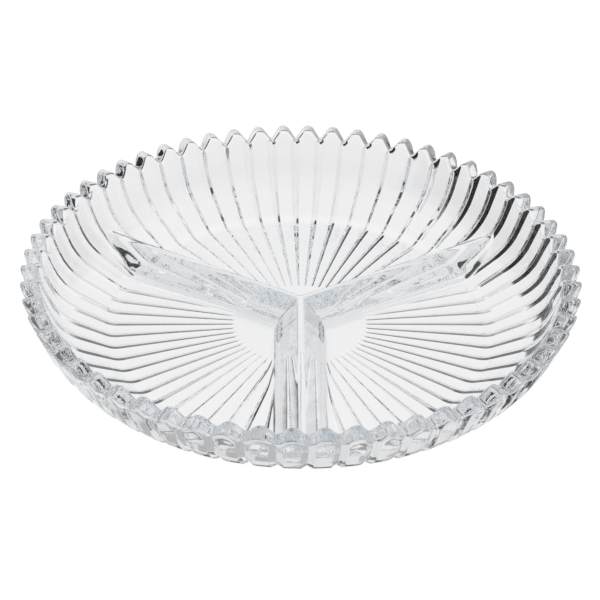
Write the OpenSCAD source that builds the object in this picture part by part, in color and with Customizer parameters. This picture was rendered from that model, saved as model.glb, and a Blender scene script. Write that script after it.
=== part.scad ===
// Divided relish tray in clear pressed glass: a round, shallow tray with a fluted
// underside, a saw-tooth rim and a three-armed divider that makes three compartments.
// The tray is one pressing. Its moulded features are kept as separate solids that
// meet face to face.

/* [Tray] */
// Diameter over the outer ends of the rim teeth
tray_d = 256.6; // [220:0.1:300]
// Height from the table to the inner tips of the teeth
tray_h = 41.3; // [38:0.1:60]
// Thickness of the glass, from the smooth inner face to the crests of the ribs
glass_t = 6; // [4.5:0.1:7]
// The same thickness under the rim, where the wall is heavier
rim_t = 8.2; // [7:0.1:9]
// Share of the tray's diameter that stands flat on the table
foot_share = 0.7054; // [0.6:0.0002:0.84]
// Slope of the low part of the wall, above the horizontal
low_slope = 29; // [24:0.5:34]
// Slope of the wall under the rim, above the horizontal
rim_slope = 70; // [64:0.5:76]
// Share of the room between the floor and the notches that the bend takes up
bend_share = 0.924; // [0.6:0.001:1.2]
// Share of the low slope that the rounded corner with the floor takes up
cove_share = 0.14; // [0.05:0.001:0.4]

/* [Ribs and teeth] */
// Number of ribs round the tray, each of which ends in one rim tooth
rib_n = 60; // [40:1:72]
// Depth of the grooves between the ribs, at the rim
rim_groove = 1.7; // [1:0.1:3.2]
// Depth of the grooves under the floor
floor_groove = 0.5; // [0.3:0.1:1.6]
// Half the width of a groove, as a share of the pitch of the ribs
groove_half_share = 0.2; // [0.1:0.01:0.24]
// Share of a groove's depth by which the ribs between are crowned
crown_share = 0.12; // [0.04:0.01:0.3]
// Diameter of the plain disc in the middle of the underside
disc_d = 59.6; // [40:0.1:80]
// Length over which each groove runs out at the plain disc
groove_run = 3; // [1:0.5:8]
// Height of the teeth over the notches between them, at the inner face
tooth_h = 5.7; // [4:0.1:10]
// Fall of a tooth's ridge from the inner to the outer face
ridge_drop = 0.6; // [0:0.1:1.2]
// Radius of the rounded top of a tooth
tooth_round = 3.7; // [1:0.1:4]
// Width of the flat bottom of a notch between two teeth
notch_w = 0.6; // [0.2:0.1:1.5]
// Turn of the ribs about the middle, measured from the right-hand side
rib_turn = 4; // [0:0.5:5.5]

/* [Dividers] */
// Height of the dividers over the floor
divider_h = 12.9; // [8:0.1:16]
// Radius of the rounded top edge of a divider
crest_r = 2.8; // [1.5:0.1:4]
// Slope of the flanks, above the horizontal
flank_slope = 42.5; // [36:0.5:50]
// Half the width of a divider where its flanks turn down to the floor
shoulder_w = 8.1; // [6:0.1:9]
// Radius of the shoulder below the flank
shoulder_r = 6.1; // [3:0.1:7]
// Slope at the bottom of the shoulder, where the foot fillet starts
shoulder_slope = 75; // [62:1:80]

/* [Hidden] */

glass_colour = [0.86, 0.92, 0.92, 0.45];
// Steps on each curve
bend_steps = 5;
cove_steps = 3;
arc_steps = 6;
tooth_arc_steps = 2;
// Share of the wall's inner height that lies below the seam in it
seam_share = 0.41;
// Share of the tray's radius from which the grooves deepen towards the rim
groove_start_share = 0.47;

rim_r = tray_d / 2;
foot_r = rim_r * foot_share;
disc_r = disc_d / 2;
notch_z = tray_h - tooth_h;
rib_angle = 360 / rib_n;

// Unit vectors along a slope and square to it, towards the inside of the tray
function along(a) = [cos(a), sin(a)];
function inward(a) = [-sin(a), cos(a)];
function cross2(a, b) = a[0] * b[1] - a[1] * b[0];

// Points of an arc about c, from the angle a0 to a1, counted from the number first
function arc(c, r, a0, a1, n, first = 0) = [for (i = [first:n]) c + r * along(a0 + (a1 - a0) * i / n)];

// Where the inner face of the low slope would meet the floor and the line under the rim
// if no corner were rounded, and the runs from there to the floor and to the notches
low_inner = [foot_r, 0] + glass_t * inward(low_slope);
rim_outer = [rim_r, tray_h - ridge_drop];
rim_inner = rim_outer + rim_t * inward(rim_slope);
floor_corner = low_inner + along(low_slope) * (glass_t - low_inner[1]) / sin(low_slope);
bend_corner = low_inner + along(low_slope)
              * cross2(rim_inner - low_inner, along(rim_slope)) / cross2(along(low_slope), along(rim_slope));
low_run = norm(bend_corner - floor_corner);
rim_run = (notch_z - bend_corner[1]) / sin(rim_slope);

// The inner corner with the floor, and the bend inside and outside
cove_run = low_run * cove_share;
cove_r = cove_run / tan(low_slope / 2);
cove_c = [floor_corner[0] - cove_run, glass_t + cove_r];
seam_r = cove_c[0];
free_run = low_run - cove_run;
bend_run = bend_share * free_run * rim_run / (free_run + rim_run);
bend_in_r = bend_run / tan((rim_slope - low_slope) / 2);
bend_in_c = bend_corner - along(low_slope) * bend_run + bend_in_r * inward(low_slope);
bend_r = bend_in_r + (glass_t + rim_t) / 2;
outer_corner = [foot_r, 0] + along(low_slope)
               * cross2(rim_outer - [foot_r, 0], along(rim_slope)) / cross2(along(low_slope), along(rim_slope));
bend_c = outer_corner - along(low_slope) * bend_r * tan((rim_slope - low_slope) / 2)
         + bend_r * inward(low_slope);
// Height of the level seam between the low and the high part of the wall
seam_z = glass_t + (notch_z - glass_t) * seam_share;

// Point of the rim line at a given height, moved inward by a thickness
function rim_line(z, t) = [rim_r - (rim_outer[1] - z) / tan(rim_slope) - t / sin(rim_slope), z];

// Inner profile from the seam with the floor up to a given height
function inner_profile(z) = concat(
    arc(cove_c, cove_r, -90, low_slope - 90, cove_steps),
    arc(bend_in_c, bend_in_r, low_slope - 90, rim_slope - 90, bend_steps),
    [rim_line(z, rim_t)]);

// Rising stations of the outside's crests and of the inside, each a point and its slope
outer_stations = concat(
    [[[foot_r, 0], low_slope / 2]],
    [for (i = [0:bend_steps])
        let (a = low_slope + (rim_slope - low_slope) * i / bend_steps) [bend_c + bend_r * along(a - 90), a]],
    [[rim_line(notch_z, 0), rim_slope]]);
inner_stations = [for (p = inner_profile(notch_z)) [p, 0]];

// The stations up to a height, or those from it on, with one at the height itself
function at_height(stations, z) =
    let (i = [for (j = [1:len(stations) - 1]) if (stations[j][0][1] >= z) j][0],
         share = (z - stations[i - 1][0][1]) / (stations[i][0][1] - stations[i - 1][0][1]))
    stations[i - 1] + (stations[i] - stations[i - 1]) * share;
function below(stations, z) = concat([for (s = stations) if (s[0][1] < z) s], [at_height(stations, z)]);
function above(stations, z) = concat([at_height(stations, z)], [for (s = stations) if (s[0][1] > z) s]);

// Depth of a groove at a radius: even under the floor, and deeper towards the rim
groove_start_r = rim_r * groove_start_share;
function groove_depth(r) = floor_groove + (rim_groove - floor_groove)
    * pow(max(0, r - groove_start_r) / (rim_r - groove_start_r), 2);
// Share of the depth at a place across a rib: crowned between the grooves' edges, then
// straight down to 1 in the middle of the groove
edge_share = 1 / 2 - groove_half_share;
function groove_share(turn) = abs(turn) < edge_share
    ? crown_share * pow(turn / edge_share, 2)
    : crown_share + (1 - crown_share) * (abs(turn) - edge_share) / groove_half_share;
// Point of the outside on a slope, its groove cut level across the sloping wall
function groove_point(p, slope, turn) =
    p - [groove_depth(p[0]) * groove_share(turn) / sin(slope), 0];
// Places of a rib's columns across it, in the groove, at its edges and on the crest
column_shares = [-1 / 2, -edge_share, 0, edge_share];
rib_columns = len(column_shares);
column_n = rib_n * rib_columns;
// Makes the flats of a ring of even columns lie outside its true circle
flat_share = 1 / cos(180 / column_n);
function column_turn(i) = column_shares[i % rib_columns];
function column_angle(i) = rib_turn + rib_angle * (floor(i / rib_columns) + column_turn(i));
function even_angle(i) = rib_turn + rib_angle * (i / rib_columns - 1 / 2);
function spun(p, a) = [p[0] * cos(a), p[0] * sin(a), p[1]];
// Ring of points on the ribbed underside
function rib_ring(r) = [for (i = [0:column_n - 1])
    spun([r, groove_depth(r) * groove_share(column_turn(i))], column_angle(i))];
// Level ring of points on the ribbed outside of the wall
function groove_ring(station) = [for (i = [0:column_n - 1])
    spun(groove_point(station[0], station[1], column_turn(i)), column_angle(i))];
// Ring of points on a smooth face, with its flats outside the true circle
function plain_ring(p) = [for (i = [0:column_n - 1])
    spun([p[0] * flat_share, p[1]], even_angle(i))];

// Closed ring whose section is the loop of rings given, each with column_n points
module ring_solid(rings) {
    n = len(rings);
    polyhedron(
        points = [for (ring = rings, p = ring) p],
        faces = [for (j = [0:n - 1], i = [0:column_n - 1])
            let (k = (i + 1) % column_n, a = j * column_n, b = ((j + 1) % n) * column_n)
            each [[a + i, b + i, b + k], [a + i, b + k, a + k]]]);
}

// The disc of plain glass that the ribs run out at
module plain_centre() {
    color(glass_colour)
        cylinder(h = glass_t, r = disc_r, $fn = column_n);
}

// The flat floor round it, smooth above and ribbed below
module ribbed_floor() {
    full_r = disc_r + groove_run;
    color(glass_colour)
        ring_solid([
            plain_ring([disc_r, 0]),
            rib_ring(full_r),
            rib_ring(seam_r * flat_share),
            plain_ring([seam_r, glass_t]),
            plain_ring([disc_r, glass_t])]);
}

// A part of the wall between level seams: rings of the underside where it has them, then
// rising stations of the ribbed outside, then those of the smooth inside
module wall_ring(start, outer, inner) {
    n = len(inner) - 1;
    color(glass_colour)
        ring_solid(concat(
            start,
            [for (s = outer) groove_ring(s)],
            [for (i = [n:-1:0]) plain_ring(inner[i][0])]));
}

// The low part of the wall, from the edge of the floor up into the bend
module low_wall() {
    wall_ring([rib_ring(seam_r * flat_share), rib_ring(foot_r)],
              [for (s = below(outer_stations, seam_z)) if (s[0][1] > 0) s],
              below(inner_stations, seam_z));
}

// The high part of the wall, up to the notches between the teeth
module high_wall() {
    wall_ring([], above(outer_stations, seam_z), above(inner_stations, seam_z));
}

// Columns of a tooth, as places across it and heights over the notches: the flanks
// run from the notches, over the edges of the grooves, to the rounded top and touch it
tooth_half = PI * rim_r / rib_n - notch_w / 2;
tooth_c = [0, tooth_h - tooth_round];
tooth_slope = atan2(tooth_c[1], tooth_half) + asin(tooth_round / norm([tooth_half, tooth_c[1]]));
tooth_top = arc(tooth_c, tooth_round, 90 + tooth_slope, 90 - tooth_slope, 2 * tooth_arc_steps);
tooth_edge_x = edge_share * 2 * PI * rim_r / rib_n;
tooth_edge_z = tooth_top[0][1] * (tooth_half - tooth_edge_x) / (tooth_half + tooth_top[0][0]);
tooth_columns = concat(
    [[-tooth_half, 0], [-tooth_edge_x, tooth_edge_z]],
    tooth_top,
    [[tooth_edge_x, tooth_edge_z], [tooth_half, 0]]);

// A triangle, or nothing where two of its corners are the same point
function corner(a, b, c) = a == b || b == c || a == c ? [] : [[a, b, c]];

// One tooth along +X: columns of points on its outer and its inner face
module tooth() {
    n = len(tooth_columns);
    pitch = 2 * PI * rim_r / rib_n;
    function place(x, p) = spun(p, x / rim_r * 180 / PI);
    fall_share = 1 - ridge_drop / tooth_h;
    function outer(x, h) = place(x, groove_point(rim_line(notch_z + h * fall_share, 0), rim_slope, x / pitch));
    function inner(x, h) = place(x, rim_line(notch_z + h, rim_t));
    // Numbers of the points: tops first, then the feet of all but the end columns
    function top(j, side) = side * (2 * n - 2) + j;
    function foot(j, side) = j == 0 || j == n - 1 ? top(j, side) : side * (2 * n - 2) + n + j - 1;
    function strip(a, b, c, d) = concat(corner(a, b, c), corner(a, c, d));
    polyhedron(
        points = concat(
            [for (q = tooth_columns) outer(q[0], q[1])],
            [for (j = [1:n - 2]) outer(tooth_columns[j][0], 0)],
            [for (q = tooth_columns) inner(q[0], q[1])],
            [for (j = [1:n - 2]) inner(tooth_columns[j][0], 0)]),
        faces = [for (j = [0:n - 2]) each concat(
            strip(foot(j, 0), top(j, 0), top(j + 1, 0), foot(j + 1, 0)),
            strip(foot(j + 1, 1), top(j + 1, 1), top(j, 1), foot(j, 1)),
            strip(top(j, 0), top(j, 1), top(j + 1, 1), top(j + 1, 0)),
            strip(foot(j + 1, 0), foot(j + 1, 1), foot(j, 1), foot(j, 0)))]);
}

// The teeth round the rim, one on each rib
module rim_teeth() {
    color(glass_colour)
        for (i = [0:rib_n - 1])
            rotate(rib_turn + rib_angle * i)
                tooth();
}

// Section of a divider: rounded top, sloping flanks, shoulders and concave foot fillets
crest_c = [0, divider_h - crest_r];
crest_edge = crest_c + crest_r * along(90 - flank_slope);
flank_drop = (shoulder_w - crest_edge[0]) * tan(flank_slope);
shoulder_c = [shoulder_w, crest_edge[1] - flank_drop] - shoulder_r * along(90 - flank_slope);
foot_top = shoulder_c + shoulder_r * along(90 - shoulder_slope);
foot_fillet_r = foot_top[1] / (1 - cos(shoulder_slope));
foot_c = foot_top + foot_fillet_r * along(90 - shoulder_slope);
half_section = concat(
    arc(crest_c, crest_r, 90, 90 - flank_slope, arc_steps),
    arc(shoulder_c, shoulder_r, 90 - flank_slope, 90 - shoulder_slope, arc_steps),
    arc(foot_c, foot_fillet_r, 270 - shoulder_slope, 270, arc_steps, 1));
divider_section = concat(
    half_section,
    [for (i = [len(half_section) - 1:-1:1]) [-half_section[i][0], half_section[i][1]]]);
divider_half_w = foot_c[0];
// Where the feet of two neighbouring dividers meet, measured along each of them
hub_r = divider_half_w / tan(60);

// A divider's full section along +X, standing on the floor from x0 to x1
module ridge(x0, x1) {
    translate([x0, 0, glass_t])
        rotate([90, 0, 90])
            linear_extrude(height = x1 - x0)
                polygon(divider_section);
}

// The space inside the tray, up to the notches
module bowl_space() {
    rotate_extrude($fn = column_n)
        polygon(concat([[0, glass_t]], inner_profile(notch_z), [[0, notch_z]]));
}

// One divider: its outer end follows the smooth inner face of the wall
module divider(turn) {
    color(glass_colour)
        intersection() {
            rotate(turn)
                ridge(hub_r, rim_r);
            bowl_space();
        }
}

module divider_front() {
    divider(-90);
}

module divider_right() {
    divider(30);
}

module divider_left() {
    divider(150);
}

// The three-sided hub in which the dividers meet: their sections run on to the three
// creases between them
module divider_hub() {
    n = len(half_section) - 1;
    turns = [-90, 30, 150];
    function height(i) = glass_t + half_section[i][1];
    // Point i of the crease that follows the divider k, whose point 0 is the middle
    function crease(k, i) = i == 0 ? 0 : 1 + ((k + 3) % 3) * n + i - 1;
    // Point j of the divider's end face, from -n to n, whose outer points end creases
    function end_face(k, j) = j == n ? crease(k, n) : j == -n ? crease(k - 1, n)
        : 1 + 3 * n + k * (2 * n - 1) + j + n - 1;
    function strip(a, b, c, d) = b == c ? [a, b, d] : [a, b, c, d];
    color(glass_colour)
        polyhedron(
            points = concat(
                [[0, 0, height(0)]],
                [for (turn = turns, i = [1:n])
                    spun([half_section[i][0] / sin(60), height(i)], turn + 60)],
                [for (turn = turns, j = [1 - n:n - 1])
                    spun([hub_r, height(abs(j))], turn)
                    + sign(j) * half_section[abs(j)][0] * [-sin(turn), cos(turn), 0]]),
            faces = concat(
                [for (k = [0:2], i = [0:n - 1])
                    strip(crease(k, i), crease(k, i + 1), end_face(k, i + 1), end_face(k, i))],
                [for (k = [0:2], i = [0:n - 1])
                    strip(end_face(k, -i), end_face(k, -i - 1), crease(k - 1, i + 1), crease(k - 1, i))],
                [for (k = [0:2]) [for (j = [-n:n]) end_face(k, j)]],
                [[for (k = [0:2]) crease(k, n)]]));
}

plain_centre();
ribbed_floor();
low_wall();
high_wall();
rim_teeth();
divider_front();
divider_right();
divider_left();
divider_hub();
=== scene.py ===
import math

import bmesh
import bpy
import numpy as np
from mathutils import Matrix


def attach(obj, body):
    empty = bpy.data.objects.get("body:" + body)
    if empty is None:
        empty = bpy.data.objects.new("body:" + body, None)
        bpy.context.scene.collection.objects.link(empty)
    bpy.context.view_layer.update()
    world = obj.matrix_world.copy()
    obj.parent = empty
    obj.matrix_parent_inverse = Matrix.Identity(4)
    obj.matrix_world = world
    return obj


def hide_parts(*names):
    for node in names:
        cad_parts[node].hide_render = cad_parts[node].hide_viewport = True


# The CAD model
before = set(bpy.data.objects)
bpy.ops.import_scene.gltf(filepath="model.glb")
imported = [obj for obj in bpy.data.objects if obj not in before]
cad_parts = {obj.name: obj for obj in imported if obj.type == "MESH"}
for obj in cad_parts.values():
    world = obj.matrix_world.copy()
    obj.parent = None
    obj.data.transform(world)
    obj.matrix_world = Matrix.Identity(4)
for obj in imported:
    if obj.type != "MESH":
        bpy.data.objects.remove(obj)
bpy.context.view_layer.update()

# Sizes of the pressing in millimetres, as in its CAD model
TRAY_R = 128.3
TRAY_H = 41.3
RIDGE_DROP = 0.6
GLASS_T = 6.0
RIM_T = 8.2
FOOT_R = 90.5
LOW_SLOPE = math.radians(29)
RIM_SLOPE = math.radians(70)
BEND_R = 31.783
BEND_IN_R = 24.7
COVE_R = 13.966
RIB_N = 60
DISC_R = 29.8
GROOVE_RUN = 3.0
TOOTH_H = 5.9
TOOTH_ROUND = 3.7
RIB_TURN = math.radians(4)
GROOVE_FLANK = math.radians(28)
GROOVE_R = 60.0
RIM_GROOVE_HALF = 0.22
FLOOR_GROOVE_HALF = 0.14
GROOVE_ROUND = 0.04
CROWN = 0.12
DIVIDER_H = 12.9
CREST_R = 2.8
FLANK_SLOPE = math.radians(42.5)
SHOULDER_W = 8.1
SHOULDER_R = 6.1
SHOULDER_SLOPE = math.radians(75)
DIVIDER_TURNS = np.radians([-90, 30, 150])

# Small roundings that only the glass mesh has
EDGE_R = 1.6
NOTCH_BLEND = 1.4
NOTCH_FLOOR = 0.35 * NOTCH_BLEND
WALL_BLEND = 2.4
CREASE_BLEND = 0.7
FOOT_REACH = 3.0

# Places where the mesh changes its spacing: the floor beside a divider's foot, the two ends of the
# strip between the wall's columns, and the first ring of the flat underside
FOOT_STRIP = 3.0
SMOOTH_GRID_R = 112.0
RIB_GRID_R = 114.0
UNDERSIDE_START = 12.0

MM = 0.001
TINY = 1e-9
MERGE_DIST = 2e-7
EMPTY_DIST = 1e-8
PITCH = 2 * math.pi * TRAY_R / RIB_N


def along(slope):
    """Unit vector (outwards, up) that climbs at the slope."""
    return np.array([math.cos(slope), math.sin(slope)])


def inward(slope):
    """Unit vector square to the slope, towards the inside of the tray."""
    return np.array([-math.sin(slope), math.cos(slope)])


def smooth_max(a, b, k):
    """The larger of two heights, with the corner between them rounded over a difference of k:
    max(a, b) + k/4 * (1 - |a - b| / k)^2 where they differ by less than k."""
    k = np.maximum(k, TINY)
    share = np.clip(1 - np.abs(a - b) / k, 0, 1)
    return np.maximum(a, b) + 0.25 * k * share ** 2


def smooth_step(u):
    """0 below 0, 1 above 1, and 3u^2 - 2u^3 between."""
    u = np.clip(u, 0, 1)
    return u * u * (3 - 2 * u)


# Lines and arcs of the wall's section
def cross2(a, b):
    """Cross product of two vectors in the section's plane."""
    return a[0] * b[1] - a[1] * b[0]


def bend_centre(low_point, rim_point, r):
    """Centre of the arc of radius r that touches the low slope's line and the rim's line."""
    start = low_point + r * inward(LOW_SLOPE)
    end = rim_point + r * inward(RIM_SLOPE)
    reach = cross2(end - start, along(RIM_SLOPE)) / cross2(along(LOW_SLOPE), along(RIM_SLOPE))
    return start + along(LOW_SLOPE) * reach


OUTER_TOP = TRAY_H - RIDGE_DROP
low_outer = np.array([FOOT_R, 0])
rim_corner = np.array([TRAY_R, OUTER_TOP])
low_inner = low_outer + GLASS_T * inward(LOW_SLOPE)
bend_c = bend_centre(low_outer, rim_corner, BEND_R)
bend_in_c = bend_centre(low_inner, rim_corner + RIM_T * inward(RIM_SLOPE), BEND_IN_R)
cove_rise = GLASS_T + COVE_R * (1 - math.cos(LOW_SLOPE)) - low_inner[1]
floor_r = low_inner[0] - COVE_R * math.sin(LOW_SLOPE) + cove_rise / math.tan(LOW_SLOPE)


def bowl_height(r):
    """Height of the smooth inner face at radius r: the level floor, the cove's arc, the low
    slope, the bend's arc and the straight line under the rim, each up to where it touches
    the next."""
    cove_end = floor_r + COVE_R * math.sin(LOW_SLOPE)
    bend_start = bend_in_c[0] + BEND_IN_R * math.sin(LOW_SLOPE)
    bend_end = bend_in_c[0] + BEND_IN_R * math.sin(RIM_SLOPE)
    cove = GLASS_T + COVE_R - np.sqrt(np.maximum(COVE_R ** 2 - (r - floor_r) ** 2, 0))
    low = GLASS_T + COVE_R * (1 - math.cos(LOW_SLOPE)) + (r - cove_end) * math.tan(LOW_SLOPE)
    bend = bend_in_c[1] - np.sqrt(np.maximum(BEND_IN_R ** 2 - (r - bend_in_c[0]) ** 2, 0))
    top = bend_in_c[1] - BEND_IN_R * math.cos(RIM_SLOPE) + (r - bend_end) * math.tan(RIM_SLOPE)
    return np.select([r < floor_r, r < cove_end, r < bend_start, r < bend_end],
                     [GLASS_T + 0 * r, cove, low, bend], top)


# Lines and arcs of a divider's section, over the floor
crest_c = np.array([0, DIVIDER_H - CREST_R])
crest_edge = crest_c + CREST_R * along(math.pi / 2 - FLANK_SLOPE)
flank_drop = (SHOULDER_W - crest_edge[0]) * math.tan(FLANK_SLOPE)
shoulder_c = (np.array([SHOULDER_W, crest_edge[1] - flank_drop])
              - SHOULDER_R * along(math.pi / 2 - FLANK_SLOPE))
foot_top = shoulder_c + SHOULDER_R * along(math.pi / 2 - SHOULDER_SLOPE)
foot_r = foot_top[1] / (1 - math.cos(SHOULDER_SLOPE))
foot_c = foot_top + foot_r * along(math.pi / 2 - SHOULDER_SLOPE)


def divider_height(s):
    """Height of a divider at the distance s from its middle line: round crest, straight flank,
    round shoulder and hollow foot, each up to where it touches the next."""
    crest = crest_c[1] + np.sqrt(np.maximum(CREST_R ** 2 - s ** 2, 0))
    flank = crest_edge[1] - (s - crest_edge[0]) * math.tan(FLANK_SLOPE)
    shoulder = shoulder_c[1] + np.sqrt(np.maximum(SHOULDER_R ** 2 - (s - shoulder_c[0]) ** 2, 0))
    foot = foot_c[1] - np.sqrt(np.maximum(foot_r ** 2 - (s - foot_c[0]) ** 2, 0))
    return GLASS_T + np.select([s < crest_edge[0], s < SHOULDER_W, s < foot_top[0], s < foot_c[0]],
                               [crest, flank, shoulder, foot], 0 * s)


def inner_height(r, turn):
    """Height of the inner face at radius r and at the angle turn from the nearest divider:
    the bowl and the two nearest dividers, joined by small fillets that fade out where the
    heights run into the floor or into the top of the hub."""
    near = divider_height(r * np.sin(turn))
    far = divider_height(r * np.sin(2 * math.pi / 3 - turn))
    top = GLASS_T + DIVIDER_H
    room = np.minimum(2 * (top - near), far - GLASS_T)
    ridge = smooth_max(near, far, np.minimum(CREASE_BLEND, room))
    bowl = bowl_height(r)
    room = np.minimum(bowl - GLASS_T, ridge - GLASS_T)
    return smooth_max(bowl, ridge, np.minimum(WALL_BLEND, room))


# The mesh is gathered as grids of points, with their faces turned outwards
points = []
faces = []
count = 0


def add_points(grid):
    """Keeps a grid of points, as an array whose last axis is x, y, z, and returns their numbers."""
    global count
    number = count + np.arange(grid[..., 0].size).reshape(grid.shape[:-1])
    points.append(grid.reshape(-1, 3))
    count += grid[..., 0].size
    return number


def add_quads(number, closed, flip=False):
    """Faces of a grid of numbers: each joins a point, the next along its row, and the two
    after them in the next row. A closed grid's last column joins its first."""
    if closed:
        number = np.concatenate([number, number[:, :1]], axis=1)
    quad = np.stack([number[:-1, :-1], number[:-1, 1:], number[1:, 1:], number[1:, :-1]], -1)
    quad = quad.reshape(-1, 4)
    faces.extend((quad[:, ::-1] if flip else quad).tolist())


def add_strip(low, low_angle, high, high_angle):
    """Triangles between two rings of different counts, low inside high, both in rising angle:
    every edge of one ring is joined to the point of the other that faces its middle."""
    low_next = np.roll(low_angle, -1)
    low_next[-1] += 2 * math.pi
    high_next = np.roll(high_angle, -1)
    high_next[-1] += 2 * math.pi
    low_mid = (low_angle + low_next) / 2
    high_mid = (high_angle + high_next) / 2
    facing_low = np.searchsorted(low_mid, high_mid) % len(low)
    facing_high = np.searchsorted(high_mid, low_mid) % len(high)
    faces.extend(np.stack([high, np.roll(high, -1), low[facing_low]], -1).tolist())
    faces.extend(np.stack([low, high[facing_high], np.roll(low, -1)], -1).tolist())


def spun(r, angle, z):
    """Points at radius r and an angle round the tray, at height z."""
    r, angle, z = np.broadcast_arrays(r, angle, z)
    return np.stack([r * np.cos(angle), r * np.sin(angle), z], -1)


def spaced(*runs):
    """Stations in rising order from (start, end, number of steps) runs that follow each other."""
    parts = [np.linspace(a, b, n, endpoint=False) for a, b, n in runs]
    return np.concatenate(parts + [[runs[-1][1]]])


# The floor and the dividers inside the bowl: on each side of each divider a grid whose lines
# run along it, from the crease with its neighbour to a circle at the foot of the wall
side_s = spaced((0, crest_edge[0], 5), (crest_edge[0], SHOULDER_W, 9), (SHOULDER_W, foot_top[0], 9),
                (foot_top[0], foot_c[0], 8), (foot_c[0], foot_c[0] + FOOT_STRIP, 3),
                (foot_c[0] + FOOT_STRIP, floor_r * math.sin(math.pi / 3), 17))
side_turn = np.arcsin(side_s / floor_r)
share = spaced((0, 0.06, 6), (0.06, 0.3, 10), (0.3, 1, 14))[:, None]
crease_x = side_s / math.tan(math.pi / 3)
circle_x = np.sqrt(floor_r ** 2 - side_s ** 2)
grid_x = crease_x + (circle_x - crease_x) * share
grid_s = side_s + 0 * grid_x
grid_r = np.hypot(grid_x, grid_s)
grid_turn = np.arctan2(grid_s, grid_x)
grid_turn[grid_r < TINY] = 0
grid_z = inner_height(grid_r, grid_turn)

# The same lines fan out up the wall, over the ends of the dividers
wall_r = spaced((floor_r, SMOOTH_GRID_R, 42))[:, None]
wall_turn = side_turn + 0 * wall_r
wall_z = inner_height(wall_r + 0 * wall_turn, wall_turn)
for axis in DIVIDER_TURNS:
    for side in (1, -1):
        inner = spun(grid_r, axis + side * grid_turn, grid_z)
        add_quads(add_points(inner), False, side > 0)
        outer = spun(wall_r + 0 * wall_turn, axis + side * wall_turn, wall_z)
        add_quads(add_points(outer), False, side > 0)

# Columns of a rib: places across it from its middle, in shares of the rib's half and of the
# groove's half, which is measured back from the groove's bottom
RIB_STEPS = np.array([0, 0.25, 0.5, 0.75])
GROOVE_STEPS = np.array([1.1, 1.0, 0.9, 0.65, 0.35, 0.12, 0.04])
HALF_COLUMNS = len(RIB_STEPS) + len(GROOVE_STEPS)
rib_number = np.repeat(np.arange(RIB_N), 2 * HALF_COLUMNS)


def groove_half(r):
    """Half the width of a groove at radius r, as a share of the ribs' pitch there."""
    share = np.clip((r - GROOVE_R) / (TRAY_R - GROOVE_R), 0, 1)
    return FLOOR_GROOVE_HALF + (RIM_GROOVE_HALF - FLOOR_GROOVE_HALF) * share ** 2


def column_places(r):
    """Places of all columns across their ribs, from -0.5 to 0.5, at radius r."""
    half = groove_half(r)
    side = np.concatenate([RIB_STEPS * (0.5 - GROOVE_STEPS[0] * half), 0.5 - GROOVE_STEPS * half])
    return np.tile(np.concatenate([-side[:0:-1], side, [0.5]]), RIB_N)


def column_angles(r):
    """Angles of all columns round the tray at radius r."""
    return RIB_TURN + (rib_number + column_places(r)) * 2 * math.pi / RIB_N


def tooth_profile(x):
    """Height of a tooth over its notches at x across it, and the slope there: flanks from the
    notches that touch the round top, with the notch itself rounded."""
    half = PITCH / 2
    top_c = TOOTH_H - TOOTH_ROUND
    slope = math.atan2(top_c, half) + math.asin(TOOTH_ROUND / math.hypot(half, top_c))

    def height(x):
        x = np.abs((x + half) % (2 * half) - half)
        top = top_c + np.sqrt(np.maximum(TOOTH_ROUND ** 2 - x ** 2, 0))
        flank = (half - x) * math.tan(slope)
        tooth = np.where(x < TOOTH_ROUND * math.sin(slope), top, flank)
        return smooth_max(tooth, NOTCH_FLOOR + 0 * tooth, NOTCH_BLEND)

    step = 0.05
    return height(x), np.arctan2(height(x + step) - height(x - step), 2 * step)


def rim_line(z, t):
    """Radius of the straight wall under the rim at height z, at the depth t in the glass."""
    return TRAY_R - (OUTER_TOP - z) / math.tan(RIM_SLOPE) - t / math.sin(RIM_SLOPE)


def groove_cut(r, places):
    """Depth of the ribbed face under the rib crests, at radius r and at places across the ribs:
    V-grooves of one flank angle between slightly crowned ribs, each wider and so deeper towards
    the rim. The V's edges are rounded with smooth_max and its bottom with a hyperbola."""
    half = groove_half(r)
    pitch = 2 * math.pi * r / RIB_N
    from_middle = (0.5 - np.abs(places)) * pitch
    soft = GROOVE_ROUND * half * pitch
    side = half * pitch + soft - np.sqrt(from_middle ** 2 + soft ** 2)
    groove = smooth_max(side, 0 * side, soft) * math.tan(GROOVE_FLANK)
    return groove + CROWN * (2 * places) ** 2


# The rim's rows, which all have the same columns
rim_place = column_places(TRAY_R)
rim_angle = column_angles(TRAY_R)
rows = []


def rim_outer(z):
    """Radius of the ribbed outer face at height z under the rim."""
    r = rim_line(z, 0)
    return r - groove_cut(r, rim_place) / math.sin(RIM_SLOPE)


def add_crest_row(crest, slope):
    """Adds a row of the ribbed face from its crest point (radius, height) and its slope there."""
    depth = groove_cut(crest[0], column_places(crest[0]))
    r = crest[0] + inward(slope)[0] * depth
    rows.append(spun(r, column_angles(crest[0]), crest[1] + inward(slope)[1] * depth))


tooth_z, tooth_slope = tooth_profile(rim_place * PITCH)
top_z = OUTER_TOP - TOOTH_H + tooth_z
edge_drop = EDGE_R / np.cos(tooth_slope)

# The inner face under the rim
start_z = bowl_height(np.array([RIB_GRID_R]))[0]
inner_top_z = top_z + RIDGE_DROP
inner_edge_z = inner_top_z - edge_drop * math.sin(RIM_SLOPE)
for u in (0, 0.35, 0.7, 1):
    z = start_z + (inner_edge_z - start_z) * u
    rows.append(spun(rim_line(z, RIM_T), rim_angle, z))

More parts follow.
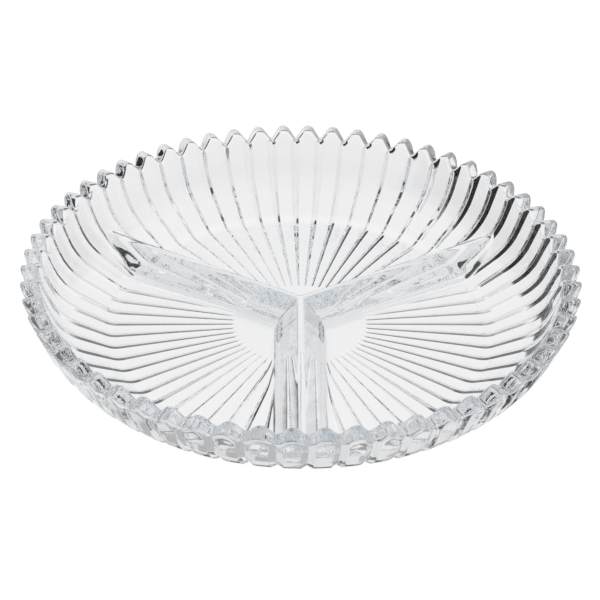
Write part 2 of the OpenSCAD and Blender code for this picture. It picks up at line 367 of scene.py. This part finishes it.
# The rounded edges and the flat between them: quarter ellipses that touch the wall and the top
inner_corner = rim_line(inner_top_z, RIM_T)
outer_corner = rim_outer(top_z)
quarter = np.radians([22, 45, 68, 90])
for a in quarter:
    down = edge_drop * (1 - math.sin(a))
    r = inner_corner - down * math.cos(RIM_SLOPE) + EDGE_R * (1 - math.cos(a))
    rows.append(spun(r, rim_angle, inner_top_z - down * math.sin(RIM_SLOPE)))
rows.append(spun((inner_corner + outer_corner) / 2, rim_angle, (inner_top_z + top_z) / 2))
for a in quarter[::-1]:
    down = edge_drop * (1 - math.sin(a))
    r = outer_corner - down * math.cos(RIM_SLOPE) - EDGE_R * (1 - math.cos(a))
    rows.append(spun(r, rim_angle, top_z - down * math.sin(RIM_SLOPE)))

# The ribbed outer face, down to the bend
outer_edge_z = top_z - edge_drop * math.sin(RIM_SLOPE)
bend_top_z = bend_c[1] - BEND_R * math.cos(RIM_SLOPE)
for u in (0, 0.3, 0.65):
    z = outer_edge_z + (bend_top_z - outer_edge_z) * u
    rows.append(spun(rim_outer(z), rim_angle, z))

# The bend, whose last row starts the low slope: the grooves are cut square to the slope
for slope in np.linspace(RIM_SLOPE, LOW_SLOPE, 13):
    add_crest_row(bend_c - BEND_R * inward(slope), slope)

# The edge of the foot is an arc that touches the low slope and the table
foot_arc_r = FOOT_REACH / math.tan(LOW_SLOPE / 2)
foot_arc_c = np.array([FOOT_R - FOOT_REACH, foot_arc_r])
for slope in np.linspace(LOW_SLOPE, 0, 6):
    add_crest_row(foot_arc_c - foot_arc_r * inward(slope), slope)

# The ribbed underside, whose grooves run out at the plain disc
groove_end_r = DISC_R + GROOVE_RUN
for r in spaced((foot_arc_c[0] - UNDERSIDE_START, groove_end_r, 4), (groove_end_r, DISC_R, 5)):
    depth = groove_cut(r, column_places(r)) * smooth_step((r - DISC_R) / GROOVE_RUN)
    rows.append(spun(r, column_angles(r), depth))
ring = add_points(np.array(rows))
add_quads(ring, True)

# The fans that close the disc below, and the strip that joins the wall's two sets of columns
middle = add_points(np.zeros((1, 1, 3)))[0, 0]
disc_edge = ring[-1]
faces.extend(np.stack([disc_edge, np.roll(disc_edge, -1), middle + 0 * disc_edge], -1).tolist())
full_turn = np.concatenate([
    np.concatenate([axis - side_turn[:0:-1], axis + side_turn[:-1]]) for axis in DIVIDER_TURNS])
wall_top = add_points(spun(SMOOTH_GRID_R, full_turn, bowl_height(SMOOTH_GRID_R + 0 * full_turn)))
first = np.argmax(rim_angle >= full_turn[0] + 2 * math.pi)
order = (np.arange(len(rim_angle)) + first) % len(rim_angle)
ring_angle = full_turn[0] + (rim_angle[order] - full_turn[0]) % (2 * math.pi)
add_strip(wall_top, full_turn, ring[0][order], ring_angle)


def make_glass_piece(name):
    """One closed mesh from the gathered points and faces: points that lie on each other are
    merged, and faces that shrink to nothing at the middle and the corners go."""
    mesh = bpy.data.meshes.new(name)
    mesh.from_pydata((np.concatenate(points) * MM).tolist(), [], faces)
    work = bmesh.new()
    work.from_mesh(mesh)
    bmesh.ops.remove_doubles(work, verts=work.verts, dist=MERGE_DIST)
    bmesh.ops.dissolve_degenerate(work, edges=work.edges, dist=EMPTY_DIST)
    bmesh.ops.recalc_face_normals(work, faces=work.faces)
    for face in work.faces:
        face.smooth = True
    open_edges = sum(not edge.is_manifold for edge in work.edges)
    print("glass:", len(work.faces), "faces,", open_edges, "open edges, volume",
          round(work.calc_volume(signed=True) * 1e6, 1), "cm3")
    work.to_mesh(mesh)
    work.free()
    piece = bpy.data.objects.new(name, mesh)
    bpy.context.scene.collection.objects.link(piece)
    return piece


tray = make_glass_piece("pressed_glass_tray")
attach(tray, "root")
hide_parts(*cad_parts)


# Materials
def linear(code):
    """An sRGB hex colour as linear red, green, blue and 1."""
    c = np.array([int(code[i:i + 2], 16) for i in (0, 2, 4)]) / 255
    c = np.where(c <= 0.04045, c / 12.92, ((c + 0.055) / 1.055) ** 2.4)
    return (*c.tolist(), 1.0)


def add_node(tree, kind, settings=None, values=None, links=None):
    """Adds a node with its settings, its sockets' values and the links that feed it. A link that
    names a node comes from its first output."""
    node = tree.nodes.new(kind)
    for key, value in (settings or {}).items():
        setattr(node, key, value)
    for key, value in (values or {}).items():
        node.inputs[key].default_value = value
    for key, source in (links or {}).items():
        output = source.outputs[0] if isinstance(source, bpy.types.Node) else source
        tree.links.new(output, node.inputs[key])
    return node


def empty_tree(owner):
    """The node tree of a material or a world, with nothing in it."""
    owner.use_nodes = True
    owner.node_tree.nodes.clear()
    return owner.node_tree


# Soda-lime glass, pressed and fire-polished: clear and glossy, faintly blue-green in thick places.
# Slow waves that the mould and the fire leave make its reflections and lines waver, and a fine
# orange peel, coarser than the real one so that it shows, speckles the flanks of the dividers and
# the teeth. Spacings and depths are in millimetres
WAVE_SPACING = 14.286
WAVE_DEPTH = 0.15
PEEL_SPACING = 1.5385
PEEL_DEPTH = 0.012
pressed_glass = bpy.data.materials.new("fire_polished_soda_lime_glass")
tree = empty_tree(pressed_glass)
spot = add_node(tree, "ShaderNodeTexCoord").outputs["Object"]
waves = add_node(tree, "ShaderNodeTexNoise",
                 values={"Scale": 1 / (WAVE_SPACING * MM), "Detail": 1.0}, links={"Vector": spot})
peel = add_node(tree, "ShaderNodeTexNoise",
                values={"Scale": 1 / (PEEL_SPACING * MM), "Detail": 1.0}, links={"Vector": spot})
wavy = add_node(tree, "ShaderNodeBump", None,
                {"Strength": 1.0, "Distance": WAVE_DEPTH * MM}, {"Height": waves})
peeled = add_node(tree, "ShaderNodeBump", None,
                  {"Strength": 1.0, "Distance": PEEL_DEPTH * MM}, {"Height": peel, "Normal": wavy})
skin = add_node(tree, "ShaderNodeBsdfPrincipled", None, {
    "Base Color": linear("FDFDFE"), "Roughness": 0.0, "IOR": 1.52, "Transmission Weight": 1.0},
    {"Normal": peeled})
depth_tint = add_node(tree, "ShaderNodeVolumeAbsorption", values={"Color": linear("DCE4E9"), "Density": 4.5})
add_node(tree, "ShaderNodeOutputMaterial", links={"Surface": skin, "Volume": depth_tint})
tray.data.materials.append(pressed_glass)

# The table: white with a soft shadow to the camera, and a clear sheet to the light in the glass,
# for which the room below is white as well
TABLE_GLOW = 0.93
table_white = bpy.data.materials.new("white_table")
tree = empty_tree(table_white)
glow = add_node(tree, "ShaderNodeEmission", values={"Color": linear("FFFFFF"), "Strength": TABLE_GLOW})
cloth = add_node(tree, "ShaderNodeBsdfDiffuse", values={"Color": linear("6F6F6F")})
white_face = add_node(tree, "ShaderNodeAddShader", links={0: glow, 1: cloth})
clear_sheet = add_node(tree, "ShaderNodeBsdfTransparent", values={"Color": linear("FFFFFF")})
path = add_node(tree, "ShaderNodeLightPath")
table_face = add_node(tree, "ShaderNodeMixShader",
                      links={0: path.outputs["Is Camera Ray"], 1: clear_sheet, 2: white_face})
add_node(tree, "ShaderNodeOutputMaterial", links={"Surface": table_face})

# The table's sheet, just below the tray so that the two faces don't meet
TABLE_HALF = 15.0
TABLE_DROP = 0.3 * MM
corners = [(x * TABLE_HALF, y * TABLE_HALF, -TABLE_DROP) for x, y in ((-1, -1), (1, -1), (1, 1), (-1, 1))]
sheet = bpy.data.meshes.new("table")
sheet.from_pydata(corners, [], [list(range(len(corners)))])
table = bpy.data.objects.new("table", sheet)
table.data.materials.append(table_white)
bpy.context.scene.collection.objects.link(table)

# The room, by direction: the white table all round, paler near the tray than far away and a little
# darker straight below, where shade under the tray is painted, white walls, a softbox overhead, and
# four black surfaces that draw the grooves dark: a wide wall on the left, a narrow one behind on the
# right, and on the table a card behind on the right and a strip straight behind, a painted shadow of the
# tray
world = bpy.data.worlds.new("studio")
bpy.context.scene.world = world
tree = empty_tree(world)
coords = add_node(tree, "ShaderNodeTexCoord")
way = add_node(tree, "ShaderNodeSeparateXYZ", links={0: coords.outputs["Generated"]})
level_way = add_node(tree, "ShaderNodeCombineXYZ", links={0: way.outputs[0], 1: way.outputs[1]})
level_way = add_node(tree, "ShaderNodeVectorMath", {"operation": "NORMALIZE"}, links={0: level_way})
SMOOTH = {"interpolation_type": "SMOOTHSTEP"}
TIMES = {"operation": "MULTIPLY"}
LARGER = {"operation": "MAXIMUM"}
SMALLER = {"operation": "MINIMUM"}

# Fades with the height of the direction, which is -1 straight down, 0 level and 1 straight up:
# the two heights between which each fade runs, and its values there
FADES = {
    "softbox": (0.66, 0.8, 0.0, 1.0),
    "below_walls": (-0.3, -0.5, 0.0, 1.0),
    "table_white": (-0.7, -0.1, 0.92, 0.7),
    "card_reach": (-0.78, -0.72, 0.0, 1.0),
    # The last two fades bound a painted shadow of the tray on the table behind it: a dark strip that stops
    # short of straight down
    "strip_reach": (-0.93, -0.9, 0.0, 1.0),
    "strip_top": (-0.86, -0.76, 0.12, 1.0)}
fade = {}
for name, ends in FADES.items():
    fade[name] = add_node(tree, "ShaderNodeMapRange", SMOOTH, dict(enumerate(ends, 1)), {0: way.outputs[2]})

# Black surfaces: the turn of each about +Z, half its width and half its soft edge, in degrees
BLACKS = {"left_wall": (178, 42, 2), "right_wall": (35, 15, 3), "card": (51, 12, 1.5), "strip": (90, 38, 5)}
black = {}
for name, numbers in BLACKS.items():
    turn, half, edge = np.radians(numbers).tolist()
    toward = add_node(tree, "ShaderNodeVectorMath", {"operation": "DOT_PRODUCT"},
                      {1: (math.cos(turn), math.sin(turn), 0)}, {0: level_way})
    ends = (math.cos(half + edge), math.cos(half - edge), 0.0, 1.0)
    black[name] = add_node(tree, "ShaderNodeMapRange", SMOOTH, dict(enumerate(ends, 1)),
                           {0: toward.outputs["Value"]})
black["card"] = add_node(tree, "ShaderNodeMath", TIMES, links={0: black["card"], 1: fade["card_reach"]})
# The strip is a painted shadow of the tray on the table behind it
black["strip"] = add_node(tree, "ShaderNodeMath", TIMES, links={0: black["strip"], 1: fade["strip_reach"]})
black["walls"] = add_node(tree, "ShaderNodeMath", LARGER,
                          links={0: black["left_wall"], 1: black["right_wall"]})

# The light beside each black surface, and what it leaves of it: the left wall also dims the table, and
# beside the strip the light is 0.78, a painted shade of the table straight below the tray
LIGHTS = {"walls": (0.8, 0.03), "left_wall": (1.0, 0.5), "card": (1.0, 0.0), "strip": (0.78, 0.0)}
light = {}
for name, (full, least) in LIGHTS.items():
    light[name] = add_node(tree, "ShaderNodeMapRange", SMOOTH, {1: 0.0, 2: 1.0, 3: full, 4: least},
                           {0: black[name]})
table_shine = add_node(tree, "ShaderNodeMath", TIMES, links={0: fade["table_white"], 1: light["left_wall"]})
table_shine = add_node(tree, "ShaderNodeMath", TIMES, links={0: table_shine, 1: light["card"]})
# Painted shade under the tray: the table straight below stays at 0.78 of the light, and within the painted
# shadow strip it falls to 0.12 at the steep end
painted_shade_under_tray = add_node(tree, "ShaderNodeMath", LARGER, links={0: fade["strip_top"], 1: light["strip"]})
shine = add_node(tree, "ShaderNodeMix", {"data_type": "FLOAT"},
                 links={0: fade["below_walls"], 2: light["walls"], 3: table_shine})
shine = add_node(tree, "ShaderNodeMath", LARGER, links={0: shine, 1: fade["softbox"]})
shine = add_node(tree, "ShaderNodeMath", SMALLER, links={0: shine, 1: painted_shade_under_tray})
path = add_node(tree, "ShaderNodeLightPath")
shine = add_node(tree, "ShaderNodeMath", LARGER, links={0: shine, 1: path.outputs["Is Camera Ray"]})
room = add_node(tree, "ShaderNodeBackground", values={"Color": linear("FFFFFF")}, links={"Strength": shine})
add_node(tree, "ShaderNodeOutputWorld", links={"Surface": room})

# The camera, fitted to the rim and the divider in the photograph: it stands at its distance from
# the middle of the rim's plane, looks there, and is then turned by its small yaw, pitch and roll
CAM_ELEVATION = math.radians(33.698)
CAM_DISTANCE = 679.6 * MM
CAM_AZIMUTH = math.radians(-91.05)
CAM_YAW = math.radians(-0.021)
CAM_PITCH = math.radians(1.653)
CAM_ROLL = math.radians(1.184)
FOCAL_PIXELS = 1478.44
IMAGE_SIZE = 600
SENSOR = 36.0

outwards = np.array([math.cos(CAM_AZIMUTH), math.sin(CAM_AZIMUTH), 0.0])
place = CAM_DISTANCE * (outwards * math.cos(CAM_ELEVATION) + np.array([0, 0, math.sin(CAM_ELEVATION)]))
place[2] += TRAY_H * MM
heading = CAM_AZIMUTH + math.pi - CAM_YAW
tilt = -(CAM_ELEVATION + CAM_PITCH)
forward = np.array([math.cos(heading) * math.cos(tilt), math.sin(heading) * math.cos(tilt), math.sin(tilt)])
level_right = np.cross(forward, [0, 0, 1])
level_right /= np.linalg.norm(level_right)
level_up = np.cross(level_right, forward)
right = math.cos(CAM_ROLL) * level_right + math.sin(CAM_ROLL) * level_up
up = -math.sin(CAM_ROLL) * level_right + math.cos(CAM_ROLL) * level_up
lens = bpy.data.cameras.new("camera")
lens.sensor_fit = "HORIZONTAL"
lens.sensor_width = SENSOR
lens.lens = FOCAL_PIXELS / IMAGE_SIZE * SENSOR
camera = bpy.data.objects.new("camera", lens)
pose = np.eye(4)
pose[:3, 0] = right
pose[:3, 1] = up
pose[:3, 2] = -forward
pose[:3, 3] = place
camera.matrix_world = Matrix(pose.tolist())
bpy.context.scene.collection.objects.link(camera)
bpy.context.scene.camera = camera
bpy.context.scene.view_settings.view_transform = "Standard"

# Light that total reflection traps in the ribs and dividers is followed until it comes out
GLASS_BOUNCES = 40
bpy.context.scene.cycles.max_bounces = GLASS_BOUNCES
bpy.context.scene.cycles.transmission_bounces = GLASS_BOUNCES
bpy.context.scene.cycles.glossy_bounces = GLASS_BOUNCES
